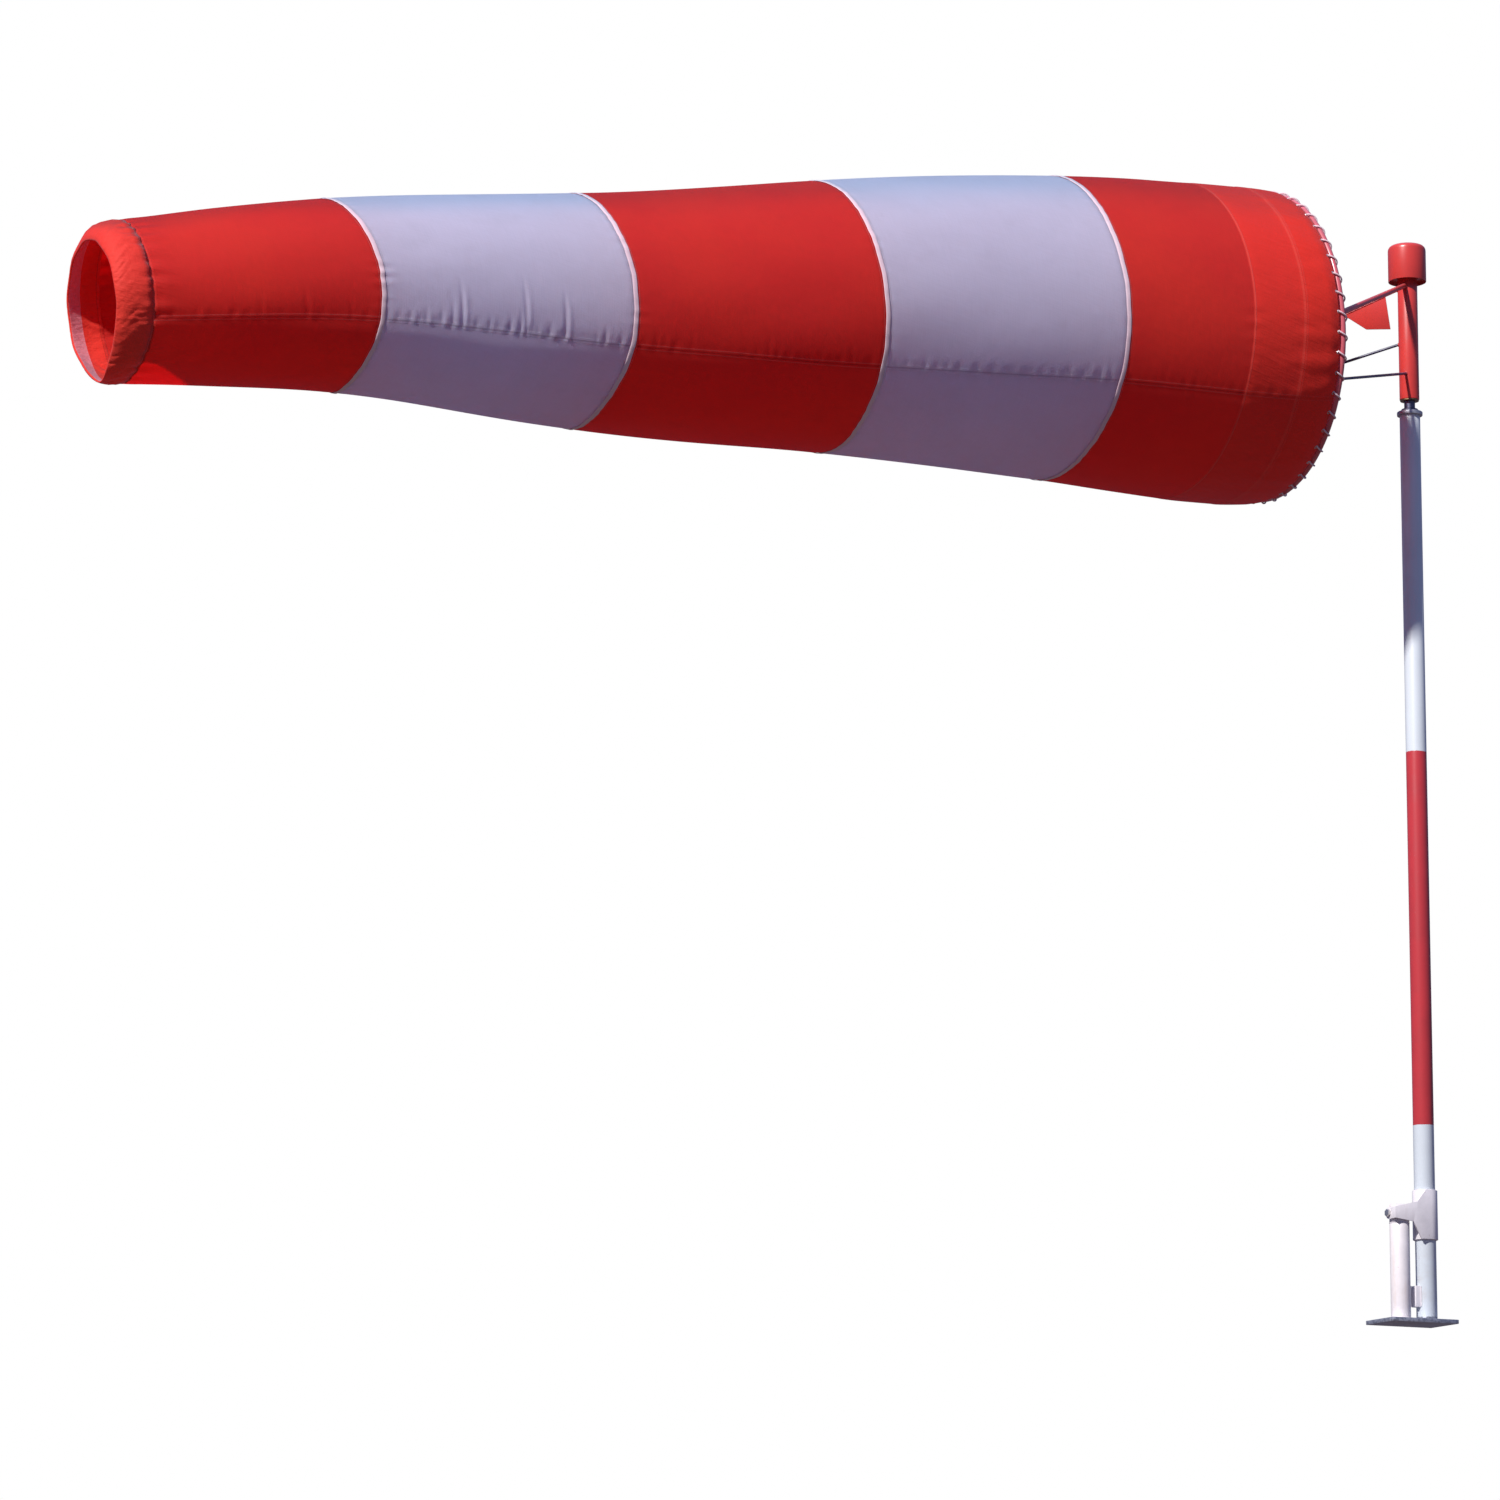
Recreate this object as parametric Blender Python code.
"""Airfield windsock on a tilting mast: an inflated five-band sock laced to a throat ring, a
free-turning swivel head on a spindle, a marked mast hinged on a short post, and the latch that
holds the mast's foot.

Frame: metres, +Z up, origin on the mast's axis at the underside of the base plate. The sock
streams towards -X with its mouth facing +X. The post stands on the -X side of the mast, and the
latch is on the +Y side of both. On the ring's frame "near" is -Y and "far" is +Y; on the tilt
hinge "near" is +X, beside the mast, and "far" is -X.
"""

import math
from collections import namedtuple

import bmesh
import bpy
from mathutils import Matrix, Vector

# ------------------------------------------------------------------ driving dimensions
GAP = 0.0003  # air left between pieces that rest on or sit in each other
FIT = 0.0004  # radial clearance of the mast's plugs and of the nuts and washers
X_AXIS = (1, 0, 0)

# stand
PLATE_X, PLATE_Y, PLATE_T = (-0.158, 0.060), 0.075, 0.012  # X ends, half width, thickness
PLATE_HOLE_R, PLATE_HOLE_IN = 0.0065, 0.018
POST_X, POST_R, POST_WALL = -0.086, 0.0285, 0.004
PIVOT_Z = 0.315  # axis of the tilt hinge, along X through the post's head
POST_TOP = PIVOT_Z - 0.028
HEAD_HALF = 0.024  # half width of the post head between its two flats
HEAD_BORE_R, BUSH_R, BUSH_BORE_R, PIVOT_R = 0.0100, 0.0097, 0.0066, 0.0062

# mast
MAST_R, MAST_WALL = 0.030, 0.003
MAST_FOOT, MAST_TOP = 0.022, 2.6697
MAST_PLUG_R = MAST_R - MAST_WALL - FIT
RIM_R, RIM_Z = 0.0375, (MAST_TOP + GAP, 2.682)

# tilt bracket
SLEEVE_Z, SLEEVE_R = (0.243, 0.384), 0.0360
CHEEK_Y, CHEEK_T = -0.0360, 0.0050  # the cheek passes the post on its -Y side
EAR_X, EAR_T = -0.1125, 0.0080  # X of the ear's inner face, towards the post's head
EAR_OUT_X = EAR_X - EAR_T
EAR_R = 0.017
BOSS_R = 0.0165
BOSS_FACE_X = POST_X + HEAD_HALF + 0.0023
PIVOT_BOLT_END_X = -0.0370
PIVOT_WASHER_R, PIVOT_WASHER_T = 0.0130, 0.0014

# latch at the mast's foot, on the +Y side of the two tubes
LATCH_Y, LATCH_Z, LATCH_R = 0.058, 0.080, 0.005
LATCH_ROOT_HALF = 0.030  # half height of the lug and the tongue at their tubes
LUG_X, LUG_T, LUG_ROOT_Y, LUG_TIP_R = -0.0505, 0.0060, 0.006, 0.020
TONGUE_X, TONGUE_T, TONGUE_ROOT_Y, TONGUE_TIP_R = -0.0440, 0.0050, -0.014, 0.021
TONGUE_TIP_Y = LATCH_Y + 0.002
TONGUE_FACE_X = TONGUE_X + TONGUE_T
SLOT_HALF = 0.0072
LATCH_WASHER_X, LATCH_WASHER_R, LATCH_WASHER_T = TONGUE_FACE_X + 0.0005, 0.0105, 0.0020
WING_NUT_X, WING_T = TONGUE_FACE_X + 0.0029, 0.0030

# swivel head
SPINDLE_R, SPINDLE_END_R = 0.0160, 0.0100
SPINDLE_FOOT_Z = MAST_TOP - 0.052
COLLAR_R, COLLAR_T = 0.0255, 0.008
SWIVEL_R, SWIVEL_BORE_R = 0.0290, 0.0250
SWIVEL_Z = (2.718, 3.100)
SHOULDER_Z = SWIVEL_Z[1] - 0.002
SPINDLE_TOP_Z = SWIVEL_Z[1] + 0.040
BUSH_FLANGE_T, BUSH_DEPTH = 0.0033, 0.040
PIN_Z, PIN_R, PIN_HOLE_R, PIN_HALF = SWIVEL_Z[1] + 0.031, 0.0017, 0.0021, 0.0165
THRUST_Z, THRUST_R, THRUST_T = SWIVEL_Z[1] + 0.0037, 0.0270, 0.004
NUT_Z, NUT_CORNER_R, NUT_T = THRUST_Z + THRUST_T + GAP, 0.0173, 0.016
HOOD_R, HOOD_Z, HOOD_T, HOOD_ROUND = 0.0558, (3.077, 3.187), 0.0025, 0.016
HOOD_RING_Z = (3.0870, 3.0930)

# throat ring and its carrier
RING_CENTRE = Vector((-0.490, 0, 2.820))
RING_TILT = 4.2  # degrees the ring leans, its top towards the tail
RING_R, RING_TUBE = 0.440, 0.009
RING_SIDES, RING_STEPS = 10, 72
ARM_R, ARM_TOP_Z = 0.0075, 3.070
WEB_T = 0.004
ROD_R = 0.004
STRUT_START = 0.012  # how far from the swivel's axis arms and rods start, before trimming
# side, its Y sign, the stay rod's height on the tube, and the degrees below the ring's
# widest point where it meets the ring
RING_SIDE_RODS = (("near", -1, 2.800, 25.0), ("far", 1, 2.896, 12.0))
CORD_R, CORD_TURNS = 0.0025, 20
CORD_STEPS, CORD_SIDES = 8, 4  # steps in each turn of the coil, sides of the cord
CORD_WIND_R = RING_TUBE + CORD_R + 0.0014

# sock
SEGMENTS = 44
BAND_LENGTH = 0.724
MOUTH_R = 0.450
# length, droop in degrees, then tilt in degrees and radius at the tail end, fabric
# The first length is counted from the throat ring, which the band's cloth doesn't quite reach.
BANDS = (
    (0.688, 1.8, 2.4, 0.433, "red_fabric"),
    (BAND_LENGTH, 4.0, 5.8, 0.383, "white_fabric"),
    (BAND_LENGTH, 5.6, 3.6, 0.326, "red_fabric"),
    (BAND_LENGTH, 3.1, 4.9, 0.265, "white_fabric"),
    (BAND_LENGTH, 8.4, 8.8, 0.212, "red_fabric"),
)
HEM_LENGTH, HEM_SLOPE, HEM_R = 0.136, 3.0, 0.459
HEM_SET_BACK = 0.0168  # from the ring's plane to the mouth hem's cloth
TAIL_HEM = 0.110
CLOTH_T, TAIL_HEM_T = 0.0004, 0.0012
SEAM_BACK, START_AHEAD = 0.001, 0.0012  # cloth held back from a seam at its two sides
DROOP_ROOM = 17.5  # degrees cut from each band's underside so it can hang from the one before
PIPING_R, PIPING_CLEAR, PIPING_BACK = 0.0035, 0.0022, 0.0062
DRAWCORD_R, DRAWCORD_IN, DRAWCORD_BACK = 0.0022, 0.0036 + 0.0026, 0.010
THIN_CORD_SIDES = 5  # sides of the piping and the drawcord

# base colour, roughness, metallic
PAINTS = {
    "red_paint": ((0.60, 0.035, 0.03), 0.35, 0.0),
    "white_paint": ((0.82, 0.80, 0.82), 0.4, 0.0),
    "galvanised": ((0.52, 0.54, 0.57), 0.45, 0.9),
    "zinc_bolt": ((0.62, 0.62, 0.64), 0.35, 1.0),
    "bronze": ((0.55, 0.36, 0.16), 0.4, 1.0),
    "bright_steel": ((0.5, 0.5, 0.52), 0.3, 1.0),
    "red_fabric": ((0.62, 0.05, 0.03), 0.75, 0.0),
    "white_fabric": ((0.78, 0.76, 0.82), 0.75, 0.0),
    "hem_fabric": ((0.70, 0.07, 0.03), 0.7, 0.0),
    "piping": ((0.85, 0.66, 0.70), 0.8, 0.0),
    "cord": ((0.85, 0.80, 0.80), 0.8, 0.0),
}

# A flat outline's local XY laid in the world's YZ or XZ, its thickness along +X or +Y
IN_YZ = Matrix(((0, 0, 1, 0), (1, 0, 0, 0), (0, 1, 0, 0), (0, 0, 0, 1)))
IN_XZ = Matrix(((1, 0, 0, 0), (0, 0, 1, 0), (0, 1, 0, 0), (0, 0, 0, 1)))


# ------------------------------------------------------------------ objects
def paint(finish, obj):
    """Give the object a material of its own, from a shared recipe."""
    colour, roughness, metallic = PAINTS[finish]
    material = bpy.data.materials.new(obj.name + "_finish")
    material.use_nodes = True
    inputs = material.node_tree.nodes["Principled BSDF"].inputs
    inputs["Base Color"].default_value = (*colour, 1)
    inputs["Roughness"].default_value = roughness
    inputs["Metallic"].default_value = metallic
    material.diffuse_color = (*colour, 1)
    obj.data.materials.append(material)


def attach(obj, parent):
    """Parent the object without moving it."""
    obj.parent = parent
    obj.matrix_parent_inverse = parent.matrix_world.inverted()


def make(name, body, finish=None, parent=None, smooth=True):
    """Turn a bmesh into an object, with its faces pointing outwards."""
    bmesh.ops.recalc_face_normals(body, faces=body.faces)
    if body.calc_volume(signed=True) < 0:
        bmesh.ops.reverse_faces(body, faces=body.faces)
    mesh = bpy.data.meshes.new(name)
    body.to_mesh(mesh)
    body.free()
    if smooth:
        mesh.shade_smooth()
        mesh.set_sharp_from_angle(angle=math.radians(35))
    obj = bpy.data.objects.new(name, mesh)
    bpy.context.scene.collection.objects.link(obj)
    if finish:
        paint(finish, obj)
    if parent:
        attach(obj, parent)
    return obj


def helper(name, body):
    """A cutter or a tool body: in the file, but no piece of the windsock."""
    obj = make(name, body, smooth=False)
    obj.hide_render = True
    obj.display_type = "WIRE"
    return obj


def joint_empty(name, where, parent=None):
    """An empty on a joint's axis. The pieces that turn there are parented to it."""
    obj = bpy.data.objects.new(name, None)
    obj.empty_display_size = 0.05
    bpy.context.scene.collection.objects.link(obj)
    obj.location = where
    if parent:
        attach(obj, parent)
    bpy.context.view_layer.update()  # attach() reads the empty's world matrix
    return obj


def boolean(obj, kind, *tools):
    for tool in tools:
        modifier = obj.modifiers.new(kind.lower() + "_" + tool.name, "BOOLEAN")
        modifier.operation = kind
        modifier.object = tool
        modifier.solver = "EXACT"


# ------------------------------------------------------------------ outlines
def arc(centre_x, centre_y, radius, start, end, steps):
    """Points along a circle, from start to end degrees."""
    angles = [math.radians(start + (end - start) * i / steps) for i in range(steps + 1)]
    return [
        (centre_x + radius * math.cos(angle), centre_y + radius * math.sin(angle))
        for angle in angles
    ]


def hexagon(radius):
    return [
        (radius * math.cos(math.pi / 3 * i), radius * math.sin(math.pi / 3 * i))
        for i in range(6)
    ]


def hollow(inner, outer, low, high):
    """The (radius, height) outline of a plain tube or washer."""
    return [(inner, low), (outer, low), (outer, high), (inner, high)]


def hoop(hoop_radius, tube_radius, sides):
    """The (radius, height) outline of a round-section hoop."""
    return [
        (hoop_radius + tube_radius * math.cos(angle), tube_radius * math.sin(angle))
        for angle in (2 * math.pi * i / sides for i in range(sides))
    ]


def latch_outline(root_y, tip_y, tip_radius):
    """The (y, z) outline of a latch plate, tapering to a round tip."""
    return (
        [(root_y, LATCH_Z - LATCH_ROOT_HALF)]
        + arc(tip_y, LATCH_Z, tip_radius, -90, 90, 10)
        + [(root_y, LATCH_Z + LATCH_ROOT_HALF)]
    )


# ------------------------------------------------------------------ bodies
def along(axis):
    """Rotation that takes +Z to the given direction."""
    return Vector((0, 0, 1)).rotation_difference(Vector(axis)).to_matrix().to_4x4()


def turned(profile, steps=48, centre=(0, 0, 0), axis=(0, 0, 1)):
    """A closed (radius, height) outline spun round an axis."""
    body = bmesh.new()
    verts = [body.verts.new((radius, 0, height)) for radius, height in profile]
    edges = [
        body.edges.new((vert, following))
        for vert, following in zip(verts, verts[1:] + verts[:1])
    ]
    bmesh.ops.spin(
        body,
        geom=verts + edges,
        cent=(0, 0, 0),
        axis=(0, 0, 1),
        angle=2 * math.pi,
        steps=steps,
        use_merge=True,
    )
    bmesh.ops.remove_doubles(body, verts=body.verts, dist=1e-6)
    bmesh.ops.dissolve_degenerate(body, edges=body.edges, dist=1e-7)
    body.transform(Matrix.Translation(centre) @ along(axis))
    return body


def rod(start, end, radius, steps=24):
    """A solid round bar from start to end."""
    start, end = Vector(start), Vector(end)
    span = end - start
    body = bmesh.new()
    bmesh.ops.create_cone(
        body,
        cap_ends=True,
        segments=steps,
        radius1=radius,
        radius2=radius,
        depth=span.length,
    )
    body.transform(Matrix.Translation((start + end) / 2) @ along(span.normalized()))
    return body


def block(low, high):
    """A box between two opposite corners."""
    low, high = Vector(low), Vector(high)
    body = bmesh.new()
    bmesh.ops.create_cube(body, size=1)
    body.transform(Matrix.Translation((low + high) / 2) @ Matrix.Diagonal((*(high - low), 1)))
    return body


def extruded(corners, offset):
    """A flat polygon swept along an offset."""
    body = bmesh.new()
    face = body.faces.new([body.verts.new(corner) for corner in corners])
    swept = bmesh.ops.extrude_face_region(body, geom=[face])
    for part in swept["geom"]:
        if isinstance(part, bmesh.types.BMVert):
            part.co += Vector(offset)
    return body


def plate(points, thickness, place):
    """A flat outline in local XY, extruded by its thickness along +Z, then placed."""
    body = extruded([(x, y, 0) for x, y in points], (0, 0, thickness))
    body.transform(place)
    return body


def hex_bolt(name, start, across, head, length, radius, parent=None):
    """A hexagon head whose inner face is at start, with the shank running along +X."""
    start, way = Vector(start), Vector(X_AXIS)
    head_place = Matrix.Translation(start) @ along(way) @ Matrix.Translation((0, 0, -head))
    bolt = make(
        name, plate(hexagon(across / math.sqrt(3)), head, head_place), "zinc_bolt", parent
    )
    shank = rod(start - way * head * 0.5, start + way * length, radius)
    boolean(bolt, "UNION", helper(name + "_shank", shank))


# ------------------------------------------------------------------ stand
def build_base_plate():
    low_x, high_x = PLATE_X
    base_plate = make(
        "base_plate",
        block((low_x, -PLATE_Y, 0), (high_x, PLATE_Y, PLATE_T)),
        "galvanised",
    )
    places = [
        (x, y)
        for x in (low_x + PLATE_HOLE_IN, high_x - PLATE_HOLE_IN)
        for y in (-PLATE_Y + PLATE_HOLE_IN, PLATE_Y - PLATE_HOLE_IN)
    ]
    for i, (x, y) in enumerate(places):
        hole = rod((x, y, -0.01), (x, y, PLATE_T + 0.01), PLATE_HOLE_R)
        boolean(base_plate, "DIFFERENCE", helper(f"plate_hole_{i}", hole))


def build_base_post():
    outline = hollow(POST_R - POST_WALL, POST_R, PLATE_T + GAP, POST_TOP)
    make("base_post", turned(outline, centre=(POST_X, 0, 0)), "white_paint")


def build_post_head():
    """A plug in the post and a lug rounded about the hinge axis, bored across."""
    plug_r = POST_R - POST_WALL - 0.0005
    outline = [
        (0, POST_TOP - 0.022),
        (plug_r, POST_TOP - 0.022),
        (plug_r, POST_TOP + GAP),
        (POST_R, POST_TOP + GAP),
        (POST_R, PIVOT_Z + 0.05),
        (0, PIVOT_Z + 0.05),
    ]
    post_head = make("post_head", turned(outline, centre=(POST_X, 0, 0)), "white_paint")

    crown_r = POST_R - 0.0006  # just inside the post's own radius
    step_z = POST_TOP + 0.003  # below this the head keeps its full round
    reach = 0.05  # half the tool's size, well clear of the head
    round_outline = (
        [(-reach, 0.2), (reach, 0.2), (reach, step_z), (crown_r, step_z)]
        + arc(0, PIVOT_Z, crown_r, 0, 180, 24)
        + [(-crown_r, step_z), (-reach, step_z)]
    )
    place = Matrix.Translation((POST_X - reach, 0, 0)) @ IN_YZ
    round_tool = helper("head_round_tool", plate(round_outline, 2 * reach, place))
    boolean(post_head, "INTERSECT", round_tool)

    flat_z = POST_TOP + 0.002
    left = block((POST_X - 0.06, -0.05, flat_z), (POST_X - HEAD_HALF, 0.05, 0.40))
    right = block((POST_X + HEAD_HALF, -0.05, flat_z), (POST_X + 0.06, 0.05, 0.40))
    bore = rod((POST_X - 0.08, 0, PIVOT_Z), (POST_X + 0.08, 0, PIVOT_Z), HEAD_BORE_R, 32)
    boolean(
        post_head,
        "DIFFERENCE",
        helper("head_flat_left", left),
        helper("head_flat_right", right),
        helper("head_bore", bore),
    )


def build_pivot_bush():
    outline = hollow(BUSH_BORE_R, BUSH_R, -HEAD_HALF - GAP, HEAD_HALF + GAP)
    make("pivot_bush", turned(outline, 32, (POST_X, 0, PIVOT_Z), X_AXIS), "bronze")


# ------------------------------------------------------------------ latch
def build_latch_lug():
    """The lug that carries the latch bolt, on the +Y side of the post."""
    outline = latch_outline(LUG_ROOT_Y, LATCH_Y, LUG_TIP_R)
    latch_lug = make(
        "latch_lug",
        plate(outline, LUG_T, Matrix.Translation((LUG_X, 0, 0)) @ IN_YZ),
        "white_paint",
    )
    foot = block(
        (LUG_X - 0.022, LUG_ROOT_Y, LATCH_Z - LATCH_ROOT_HALF),
        (LUG_X + 0.002, 0.030, LATCH_Z + LATCH_ROOT_HALF),
    )
    boolean(latch_lug, "UNION", helper("lug_foot", foot))
    saddle = rod((POST_X, 0, 0), (POST_X, 0, 0.25), POST_R + GAP, 48)
    bore = rod(
        (LUG_X - 0.03, LATCH_Y, LATCH_Z), (LUG_X + 0.03, LATCH_Y, LATCH_Z), LATCH_R + 0.0005
    )
    boolean(latch_lug, "DIFFERENCE", helper("lug_saddle", saddle), helper("lug_bore", bore))


def build_latch_bolt():
    hex_bolt(
        "latch_bolt",
        start=(LUG_X - GAP, LATCH_Y, LATCH_Z),
        across=0.016,
        head=0.0068,
        length=0.0400,
        radius=LATCH_R,
    )


def build_latch_washer():
    outline = hollow(LATCH_R + FIT, LATCH_WASHER_R, 0, LATCH_WASHER_T)
    centre = (LATCH_WASHER_X, LATCH_Y, LATCH_Z)
    make("latch_washer", turned(outline, 28, centre, X_AXIS), "zinc_bolt")


def build_wing_nut():
    """A tapered nut with two wings, on its own axis."""
    centre = (WING_NUT_X, LATCH_Y, LATCH_Z)
    wing_axis = joint_empty("wing_nut_axis", centre)
    bore_r = LATCH_R + FIT
    outline = [(bore_r, 0), (0.0090, 0), (0.0072, 0.0100), (bore_r, 0.0100)]
    wing_nut = make("wing_nut", turned(outline, 28, centre, X_AXIS), "zinc_bolt", wing_axis)
    # distance from the nut's axis, distance along it
    wing_outline = (
        [(0.0062, 0.0010), (0.0100, 0.0012)]
        + arc(0.0150, 0.0090, 0.0042, -60, 150, 8)
        + [(0.0064, 0.0070)]
    )
    for side, way in (("up", 1), ("down", -1)):
        stand = Matrix(((0, 1, 0, 0), (0, 0, 1, -WING_T / 2), (way, 0, 0, 0), (0, 0, 0, 1)))
        wing = plate(wing_outline, WING_T, Matrix.Translation(centre) @ stand)
        boolean(wing_nut, "UNION", helper(f"wing_{side}", wing))


def build_latch_tongue(tilt_axis):
    """Slotted tongue on the mast's foot: its slot leaves the latch bolt as the mast tilts."""
    outline = latch_outline(TONGUE_ROOT_Y, TONGUE_TIP_Y, TONGUE_TIP_R)
    latch_tongue = make(
        "latch_tongue",
        plate(outline, TONGUE_T, Matrix.Translation((TONGUE_X, 0, 0)) @ IN_YZ),
        "white_paint",
        tilt_axis,
    )
    foot = block(
        (TONGUE_FACE_X - 0.002, TONGUE_ROOT_Y, LATCH_Z - LATCH_ROOT_HALF),
        (-0.018, -TONGUE_ROOT_Y, LATCH_Z + LATCH_ROOT_HALF),
    )
    boolean(latch_tongue, "UNION", helper("tongue_foot", foot))

    # the slot runs square to the line from the hinge to the bolt
    slot_tilt = math.atan2(LATCH_Y, PIVOT_Z - LATCH_Z)
    slot = block((-0.02, 0, -SLOT_HALF), (0.02, 0.05, SLOT_HALF))
    slot.transform(
        Matrix.Translation((TONGUE_X, LATCH_Y, LATCH_Z)) @ Matrix.Rotation(slot_tilt, 4, "X")
    )
    slot_end = rod(
        (TONGUE_X - 0.02, LATCH_Y, LATCH_Z), (TONGUE_X + 0.02, LATCH_Y, LATCH_Z), SLOT_HALF, 32
    )
    boolean(
        latch_tongue,
        "DIFFERENCE",
        helper("tongue_slot", slot),
        helper("tongue_slot_end", slot_end),
        helper("tongue_saddle", rod((0, 0, 0), (0, 0, 0.25), MAST_R + GAP, 56)),
    )


# ------------------------------------------------------------------ mast, on the tilt hinge
def build_mast_tube(tilt_axis):
    outline = hollow(MAST_R - MAST_WALL, MAST_R, MAST_FOOT, MAST_TOP)
    make("mast_tube", turned(outline, 56), "white_paint", tilt_axis)


def build_mast_foot_cap(tilt_axis):
    outline = [
        (0, MAST_FOOT - 0.005),
        (MAST_R - 0.0015, MAST_FOOT - 0.005),
        (MAST_R, MAST_FOOT - 0.0035),
        (MAST_R, MAST_FOOT - GAP),
        (MAST_PLUG_R, MAST_FOOT - GAP),
        (MAST_PLUG_R, MAST_FOOT + 0.014),
        (0, MAST_FOOT + 0.014),
    ]
    make("mast_foot_cap", turned(outline, 40), "galvanised", tilt_axis)


def build_mast_head(tilt_axis):
    """A bored plug in the mast's top, with a rim over the tube's end."""
    outline = [
        (SPINDLE_R + FIT, MAST_TOP - 0.055),
        (MAST_PLUG_R, MAST_TOP - 0.055),
        (MAST_PLUG_R, RIM_Z[0]),
        (RIM_R - 0.001, RIM_Z[0]),
        (RIM_R, RIM_Z[0] + 0.001),
        (RIM_R, RIM_Z[1] - 0.002),
        (RIM_R - 0.002, RIM_Z[1]),
        (SPINDLE_R + FIT, RIM_Z[1]),
    ]
    make("mast_head", turned(outline, 48), "galvanised", tilt_axis)


def build_tilt_bracket(tilt_axis):
    """One weldment: a sleeve round the mast, a tapering cheek on the post's -Y side, an ear
    beyond the post's head and a boss between the head and the sleeve."""
    tilt_bracket = make(
        "tilt_bracket",
        rod((0, 0, SLEEVE_Z[0]), (0, 0, SLEEVE_Z[1]), SLEEVE_R, 56),
        "white_paint",
        tilt_axis,
    )
    cheek_outline = [  # x, z
        (0.0, SLEEVE_Z[0]),
        (0.0, SLEEVE_Z[1]),
        (-0.018, SLEEVE_Z[1]),
        (-0.045, PIVOT_Z + 0.034),
        (EAR_OUT_X, PIVOT_Z + 0.016),
        (EAR_OUT_X, PIVOT_Z - 0.016),
        (-0.060, PIVOT_Z - 0.024),
        (-0.034, SLEEVE_Z[0]),
    ]
    ear_root_y = CHEEK_Y + 0.002  # buried in the cheek
    ear_outline = (  # y, z
        [(ear_root_y, PIVOT_Z - 0.016), (0, PIVOT_Z - EAR_R)]
        + arc(0, PIVOT_Z, EAR_R, -80, 80, 10)
        + [(0, PIVOT_Z + EAR_R), (ear_root_y, PIVOT_Z + 0.016)]
    )
    cheek = plate(cheek_outline, CHEEK_T, Matrix.Translation((0, CHEEK_Y, 0)) @ IN_XZ)
    ear = plate(ear_outline, EAR_T, Matrix.Translation((EAR_OUT_X, 0, 0)) @ IN_YZ)
    boss = rod((BOSS_FACE_X, 0, PIVOT_Z), (-0.032, 0, PIVOT_Z), BOSS_R, 32)
    boolean(
        tilt_bracket,
        "UNION",
        helper("bracket_cheek", cheek),
        helper("bracket_ear", ear),
        helper("bracket_boss", boss),
    )
    sleeve_bore = rod((0, 0, 0.20), (0, 0, 0.45), MAST_R + GAP, 56)
    pivot_bore = rod((-0.16, 0, PIVOT_Z), (-0.0345, 0, PIVOT_Z), BUSH_BORE_R, 28)
    boolean(
        tilt_bracket,
        "DIFFERENCE",
        helper("sleeve_bore", sleeve_bore),
        helper("pivot_bore", pivot_bore),
    )


def build_pivot_bolt(tilt_axis):
    hex_bolt(
        "pivot_bolt",
        start=(EAR_OUT_X - GAP, 0, PIVOT_Z),
        across=0.019,
        head=0.008,
        length=PIVOT_BOLT_END_X - EAR_OUT_X,
        radius=PIVOT_R,
        parent=tilt_axis,
    )


def build_pivot_washers(tilt_axis):
    outline = hollow(BUSH_BORE_R, PIVOT_WASHER_R, 0, PIVOT_WASHER_T)
    for side, x in (("far", EAR_X + GAP), ("near", POST_X + HEAD_HALF + 0.0006)):
        washer = turned(outline, 28, (x, 0, PIVOT_Z), X_AXIS)
        make(f"pivot_washer_{side}", washer, "zinc_bolt", tilt_axis)


# ------------------------------------------------------------------ spindle
def build_spindle(tilt_axis):
    """A stepped bar with a collar on the mast's rim, cross-drilled at its top."""
    outline = [
        (0, SPINDLE_FOOT_Z),
        (SPINDLE_R, SPINDLE_FOOT_Z),
        (SPINDLE_R, RIM_Z[1] + GAP),
        (COLLAR_R, RIM_Z[1] + GAP),
        (COLLAR_R, RIM_Z[1] + COLLAR_T - 0.002),
        (COLLAR_R - 0.002, RIM_Z[1] + COLLAR_T),
        (SPINDLE_R, RIM_Z[1] + COLLAR_T),
        (SPINDLE_R, SHOULDER_Z - 0.002),
        (SPINDLE_R - 0.002, SHOULDER_Z),
        (SPINDLE_END_R, SHOULDER_Z),
        (SPINDLE_END_R, SPINDLE_TOP_Z - 0.0015),
        (SPINDLE_END_R - 0.0015, SPINDLE_TOP_Z),
        (0, SPINDLE_TOP_Z),
    ]
    spindle = make("spindle", turned(outline, 32), "bright_steel", tilt_axis)
    hole = rod((0, -0.03, PIN_Z), (0, 0.03, PIN_Z), PIN_HOLE_R, 16)
    boolean(spindle, "DIFFERENCE", helper("pin_hole", hole))


def build_split_pin(tilt_axis):
    pin = rod((0, -PIN_HALF, PIN_Z), (0, PIN_HALF, PIN_Z), PIN_R, 12)
    make("split_pin", pin, "bright_steel", tilt_axis)


def build_thrust_washer(tilt_axis):
    outline = hollow(SPINDLE_END_R + FIT, THRUST_R, THRUST_Z, THRUST_Z + THRUST_T)
    make("thrust_washer", turned(outline, 36), "bronze", tilt_axis)


def build_spindle_nut(tilt_axis):
    body = plate(hexagon(NUT_CORNER_R), NUT_T, Matrix.Translation((0, 0, NUT_Z)))
    spindle_nut = make("spindle_nut", body, "zinc_bolt", tilt_axis)
    bore = rod((0, 0, NUT_Z - 0.01), (0, 0, NUT_Z + 0.03), SPINDLE_END_R + FIT)
    boolean(spindle_nut, "DIFFERENCE", helper("nut_bore", bore))


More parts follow.
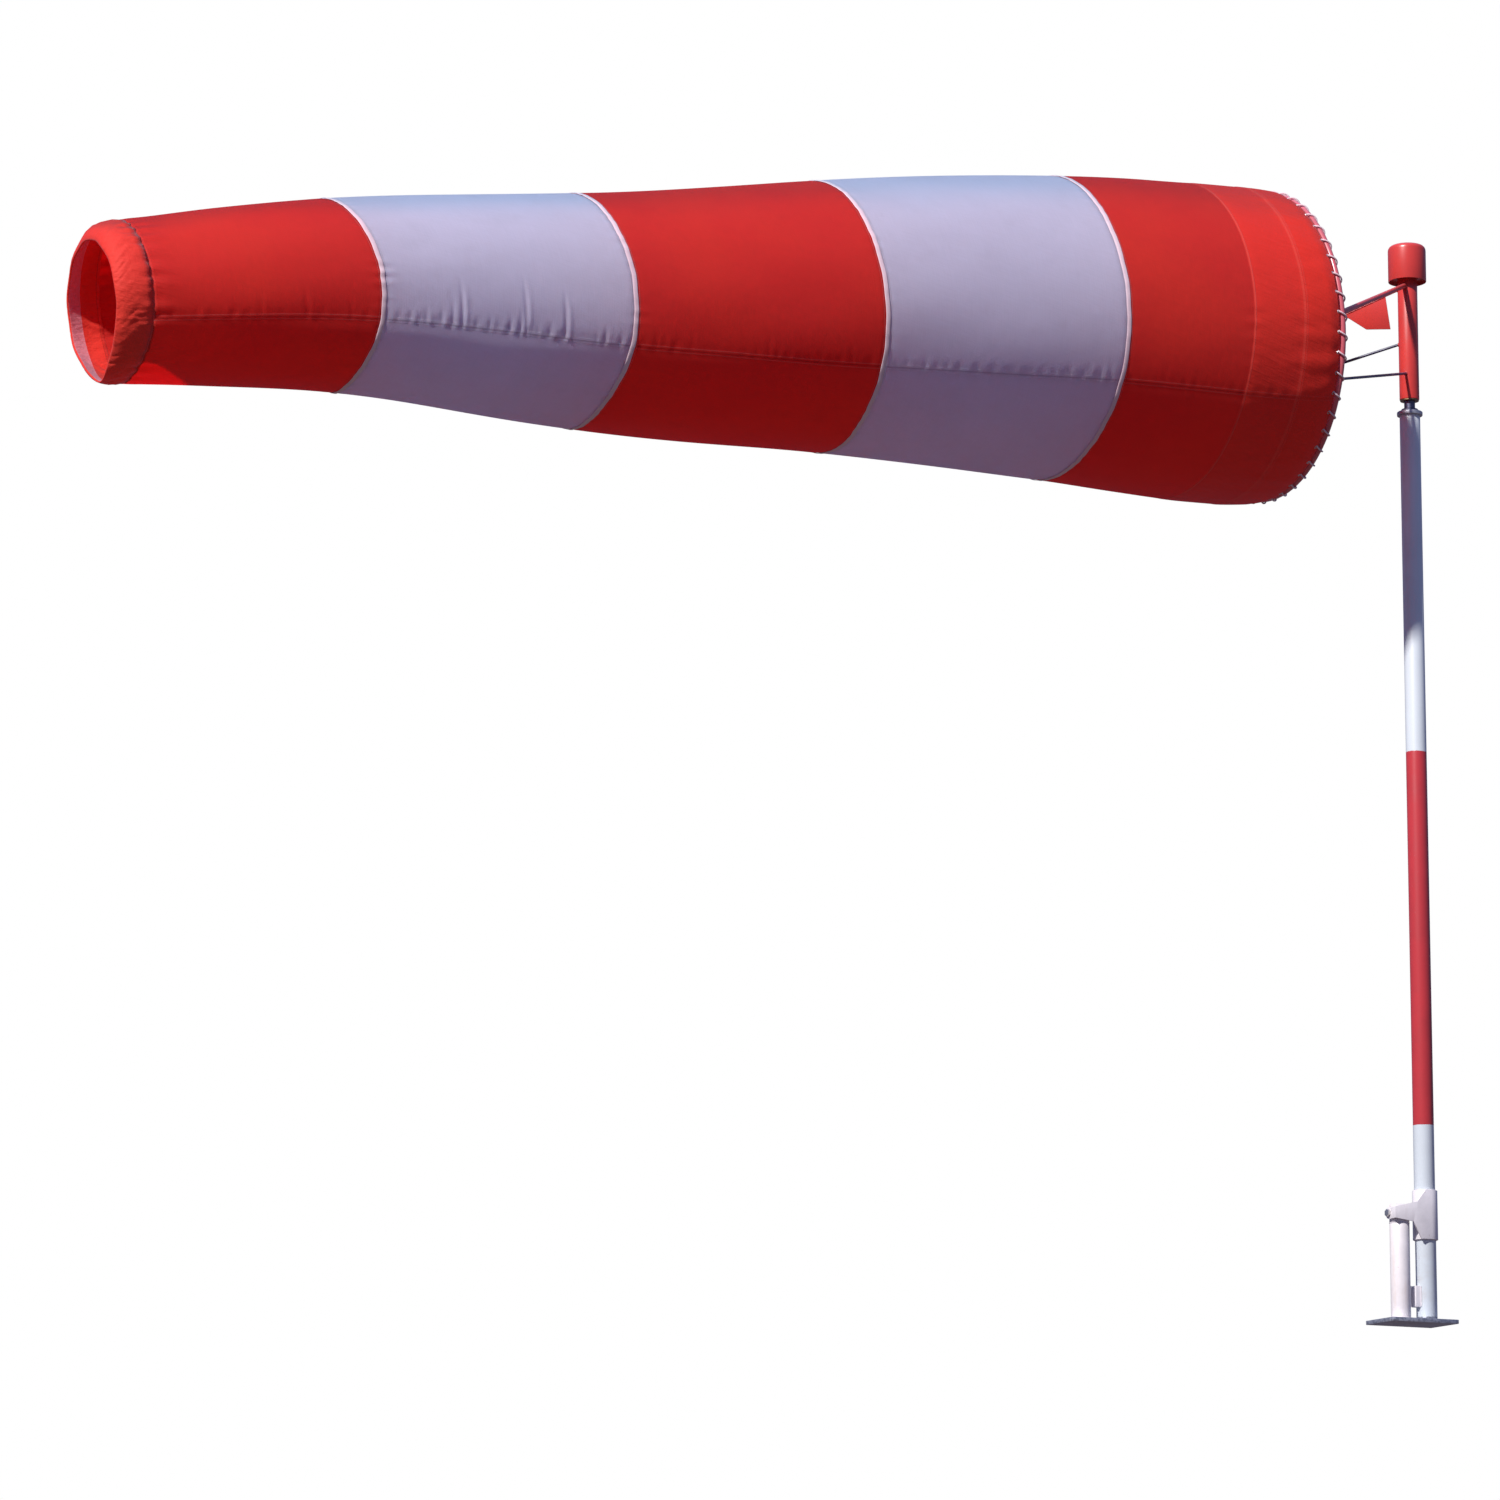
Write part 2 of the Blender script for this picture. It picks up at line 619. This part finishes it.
# ------------------------------------------------------------------ swivel head
def build_swivel_tube(swivel_axis):
    outline = [
        (SWIVEL_BORE_R, SWIVEL_Z[0]),
        (SWIVEL_R - 0.001, SWIVEL_Z[0]),
        (SWIVEL_R, SWIVEL_Z[0] + 0.001),
        (SWIVEL_R, SWIVEL_Z[1]),
        (SWIVEL_BORE_R, SWIVEL_Z[1]),
    ]
    make("swivel_tube", turned(outline, 48), "red_paint", swivel_axis)


def build_flanged_bush(name, face_z, way, swivel_axis):
    """A bush pushed into the swivel tube's end at face_z; way is 1 if that end faces up."""
    bore_r, flange_r = SPINDLE_R + GAP, SWIVEL_R - 0.0015
    outline = [
        (bore_r, face_z + way * BUSH_FLANGE_T),
        (flange_r, face_z + way * BUSH_FLANGE_T),
        (flange_r, face_z + way * GAP),
        (SWIVEL_BORE_R - GAP, face_z + way * GAP),
        (SWIVEL_BORE_R - GAP, face_z - way * BUSH_DEPTH),
        (bore_r, face_z - way * BUSH_DEPTH),
    ]
    make(name, turned(outline, 40), "bronze", swivel_axis)


def build_hood(swivel_axis):
    """A cup, open below, over the top of the swivel tube."""
    round_r, round_z = HOOD_R - HOOD_ROUND, HOOD_Z[1] - HOOD_ROUND
    outline = (
        [(HOOD_R - HOOD_T, HOOD_Z[0]), (HOOD_R, HOOD_Z[0])]
        + arc(round_r, round_z, HOOD_ROUND, 0, 90, 5)
        + [(0, HOOD_Z[1] + 0.001), (0, HOOD_Z[1] - HOOD_T)]
        + arc(round_r, round_z, HOOD_ROUND - HOOD_T, 90, 0, 5)
    )
    make("hood", turned(outline, 48), "red_paint", swivel_axis)


def build_hood_ring(swivel_axis):
    """The flat ring between the swivel tube and the hood."""
    outline = hollow(SWIVEL_R + GAP, HOOD_R - HOOD_T - GAP, *HOOD_RING_Z)
    make("hood_ring", turned(outline, 48), "red_paint", swivel_axis)


# ------------------------------------------------------------------ throat ring and its frame
def direction(slope):
    """(along the sock towards its tail, across it and upwards) at a slope in degrees."""
    angle = math.radians(slope)
    tailward = Vector((-math.cos(angle), 0, -math.sin(angle)))
    return tailward, Vector((-math.sin(angle), 0, math.cos(angle)))


RING_TAILWARD, RING_UP = direction(RING_TILT)
RING_AXIS = -RING_TAILWARD  # out of the mouth


def ring_body(tube_radius):
    outline = hoop(RING_R, tube_radius, RING_SIDES)
    # the hoop keeps its own radius; only its tube changes
    return turned(outline, RING_STEPS, RING_CENTRE, RING_AXIS)


def ring_point(side, below):
    """A point in the ring's tube, below degrees under its widest point; side is the Y sign."""
    angle = math.radians(below)
    out = Vector((0, side, 0)) * math.cos(angle) - RING_UP * math.sin(angle)
    return RING_CENTRE + out * (RING_R - 0.003)


def build_strut(name, height, target, overlap, radius, steps, finish, skins, parent):
    """A bar from the swivel tube to the ring, trimmed to the skins of both."""
    start = Vector((0, 0, height))
    way = (target - start).normalized()
    body = rod(start + way * STRUT_START, target - way * overlap, radius, steps)
    boolean(make(name, body, finish, parent), "DIFFERENCE", *skins)


def build_arm_web(swivel_axis):
    """The web hanging under the far (+Y) arm, in its vertical plane."""
    arm_start = Vector((0, 0, ARM_TOP_Z))
    span = ring_point(1, 0) - arm_start
    way = span.normalized()
    flat = Vector((way.x, way.y, 0)).normalized()
    under = Vector((0, 0, -1))
    normal = flat.cross(under)
    arm_drop = ARM_R / abs(flat.dot(way)) + GAP  # from the arm's axis to just under its skin
    corners = (  # part of the way along the arm, depth under it
        (0.10, 0),
        (0.31, 0),
        (0.27, 0.014),
        (0.19, 0.072),
        (0.080, 0.104),
    )
    face = [
        arm_start + span * part + under * (arm_drop + depth) - normal * (WEB_T / 2)
        for part, depth in corners
    ]
    make("arm_web", extruded(face, normal * WEB_T), "red_paint", swivel_axis)


def build_ring_frame(swivel_axis):
    """The throat ring, and the arms, web and stay rods that carry it."""
    make("throat_ring", ring_body(RING_TUBE), "red_paint", swivel_axis)
    skins = (
        helper("swivel_skin", rod((0, 0, 2.6), (0, 0, 3.2), SWIVEL_R + GAP, 48)),
        helper("ring_skin", ring_body(RING_TUBE + GAP)),
    )
    for side, sign, height, below in RING_SIDE_RODS:
        build_strut(
            f"arm_{side}", ARM_TOP_Z, ring_point(sign, 0),
            overlap=0.003, radius=ARM_R, steps=20,
            finish="red_paint", skins=skins, parent=swivel_axis,
        )
        build_strut(
            f"stay_rod_{side}", height, ring_point(sign, below),
            overlap=0.002, radius=ROD_R, steps=14,
            finish="galvanised", skins=skins, parent=swivel_axis,
        )
    build_arm_web(swivel_axis)


def bridge_loops(body, loops):
    """Join each loop of vertices to the next, and the last to the first."""
    for one, two in zip(loops, loops[1:] + loops[:1]):
        for i in range(len(one)):
            j = (i + 1) % len(one)
            body.faces.new((one[i], one[j], two[j], two[i]))


def cord_place(step):
    """The lacing's centre at a step, and the direction from the ring's tube out to it."""
    round_ring = 2 * math.pi * step / (CORD_TURNS * CORD_STEPS)
    round_tube = CORD_TURNS * round_ring
    out = Vector((0, math.sin(round_ring), 0)) + RING_UP * math.cos(round_ring)
    centre = (
        RING_CENTRE
        + out * (RING_R + CORD_WIND_R * math.cos(round_tube))
        + RING_AXIS * (CORD_WIND_R * math.sin(round_tube))
    )
    return centre, (out * math.cos(round_tube) + RING_AXIS * math.sin(round_tube)).normalized()


def build_lacing_cord(swivel_axis):
    """The lacing, wound round the throat ring as a closed coil."""
    body = bmesh.new()
    angles = [2 * math.pi * i / CORD_SIDES for i in range(CORD_SIDES)]
    loops = []
    for step in range(CORD_TURNS * CORD_STEPS):
        centre, normal = cord_place(step)
        tangent = (cord_place(step + 1)[0] - cord_place(step - 1)[0]).normalized()
        normal = (normal - tangent * normal.dot(tangent)).normalized()
        across = tangent.cross(normal)
        loops.append(
            [
                body.verts.new(
                    centre + (normal * math.cos(angle) + across * math.sin(angle)) * CORD_R
                )
                for angle in angles
            ]
        )
    bridge_loops(body, loops)
    make("lacing_cord", body, "cord", swivel_axis)


# ------------------------------------------------------------------ sock
# A cross-section of the sock. A plane that ends a piece of cloth is a (point, normal) pair.
Station = namedtuple("Station", "centre tailward up radius")


def sock_stations():
    """The throat ring's station and the tail end of each band."""
    stations = [Station(RING_CENTRE, RING_TAILWARD, RING_UP, MOUTH_R)]
    for length, slope, tilt, radius, _ in BANDS:
        centre = stations[-1].centre + direction(slope)[0] * length
        stations.append(Station(centre, *direction(tilt), radius))
    return stations


def on_rim(station, angle, inset=0.0):
    """A point on a station's circle, by its angle from the top towards +Y."""
    out = station.up * math.cos(angle) + Vector((0, 1, 0)) * math.sin(angle)
    return station.centre + out * (station.radius - inset)


def cloth_shell(first, last, first_plane, last_plane, thickness=CLOTH_T):
    """A thin conical shell from one station to another, ended by two planes."""
    body = bmesh.new()
    loops = []
    for inset, (point, normal) in (
        (0, first_plane),
        (0, last_plane),
        (thickness, last_plane),
        (thickness, first_plane),
    ):
        loop = []
        for i in range(SEGMENTS):
            angle = 2 * math.pi * i / SEGMENTS
            start = on_rim(first, angle, inset)
            span = on_rim(last, angle, inset) - start
            part = (point - start).dot(normal) / span.dot(normal)
            loop.append(body.verts.new(start + span * part))
        loops.append(loop)
    bridge_loops(body, loops)
    return body


def square_end(station, back=SEAM_BACK):
    """The plane across the sock at a station, set back towards the mouth."""
    return station.centre - station.tailward * back, station.tailward


def hanging_start(station):
    """A plane through a station's top, cut towards the tail underneath to leave droop room."""
    angle = math.radians(DROOP_ROOM)
    normal = station.tailward * math.cos(angle) + station.up * math.sin(angle)
    return on_rim(station, 0) + station.tailward * START_AHEAD, normal


def build_cord_hoop(name, station, radius, cord_radius, back, finish, parent):
    """A thin round hoop in a station's plane, set back towards the mouth."""
    body = turned(
        hoop(radius, cord_radius, THIN_CORD_SIDES),
        SEGMENTS,
        station.centre - station.tailward * back,
        station.tailward,
    )
    make(name, body, finish, parent)


def build_mouth_hem(ring_station, hem_station, swivel_axis):
    hem_start = (RING_CENTRE + RING_TAILWARD * HEM_SET_BACK, RING_TAILWARD)
    body = cloth_shell(ring_station, hem_station, hem_start, square_end(hem_station))
    make("mouth_hem", body, "hem_fabric", swivel_axis)


def build_band(number, start, end, fabric, droop_axis):
    body = cloth_shell(start, end, hanging_start(start), square_end(end))
    make(f"band_{number}", body, fabric, droop_axis)


def build_seam_piping(number, seam, droop_axis):
    """Round piping over the tail end of a band, just outside the cloth."""
    radius = seam.radius + PIPING_R + PIPING_CLEAR
    name = f"seam_piping_{number}"
    build_cord_hoop(name, seam, radius, PIPING_R, PIPING_BACK, "piping", droop_axis)


def build_tail(start, end, slope, fabric, droop_axis):
    """The last band, shortened to take the tail hem, with the hem and its drawcord."""
    part = TAIL_HEM / BAND_LENGTH
    seam = Station(
        end.centre.lerp(start.centre, part),
        *direction(slope),
        end.radius + (start.radius - end.radius) * part,
    )
    build_band(len(BANDS), start, seam, fabric, droop_axis)
    hem = cloth_shell(
        seam, end, square_end(seam, -SEAM_BACK), square_end(end, 0), TAIL_HEM_T
    )
    make("tail_hem", hem, "hem_fabric", droop_axis)
    radius = end.radius - DRAWCORD_IN
    build_cord_hoop(
        "tail_drawcord", end, radius, DRAWCORD_R, DRAWCORD_BACK, "cord", droop_axis
    )


def build_sock(swivel_axis):
    """The mouth hem, then each band hung from the one before it."""
    stations = sock_stations()
    hem_tailward, hem_up = direction(HEM_SLOPE)
    hem_centre = RING_CENTRE + hem_tailward * HEM_LENGTH
    hem_station = Station(hem_centre, hem_tailward, hem_up, HEM_R)
    build_mouth_hem(stations[0], hem_station, swivel_axis)

    starts = [hem_station] + stations[1:-1]
    parent = swivel_axis
    for number, (start, end, band) in enumerate(zip(starts, stations[1:], BANDS), 1):
        _, slope, _, _, fabric = band
        parent = joint_empty(f"droop_{number}_axis", on_rim(start, 0), parent)
        if number == len(BANDS):
            build_tail(start, end, slope, fabric, parent)
        else:
            build_band(number, start, end, fabric, parent)
            build_seam_piping(number, end, parent)


# ------------------------------------------------------------------ assembly
def build_windsock():
    for piece in (
        build_base_plate, build_base_post, build_post_head, build_pivot_bush,
        build_latch_lug, build_latch_bolt, build_latch_washer, build_wing_nut,
    ):
        piece()

    tilt_axis = joint_empty("mast_tilt_axis", (POST_X, 0, PIVOT_Z))
    for piece in (
        build_mast_tube, build_mast_foot_cap, build_mast_head,
        build_spindle, build_split_pin, build_thrust_washer, build_spindle_nut,
        build_tilt_bracket, build_pivot_bolt, build_pivot_washers, build_latch_tongue,
    ):
        piece(tilt_axis)

    swivel_axis = joint_empty("swivel_axis", (0, 0, SWIVEL_Z[0]), tilt_axis)
    build_flanged_bush("lower_bush", SWIVEL_Z[0], -1, swivel_axis)
    build_flanged_bush("upper_bush", SWIVEL_Z[1], 1, swivel_axis)
    for piece in (
        build_swivel_tube, build_hood, build_hood_ring,
        build_ring_frame, build_lacing_cord, build_sock,
    ):
        piece(swivel_axis)


for stale in list(bpy.data.objects):
    bpy.data.objects.remove(stale, do_unlink=True)
build_windsock()
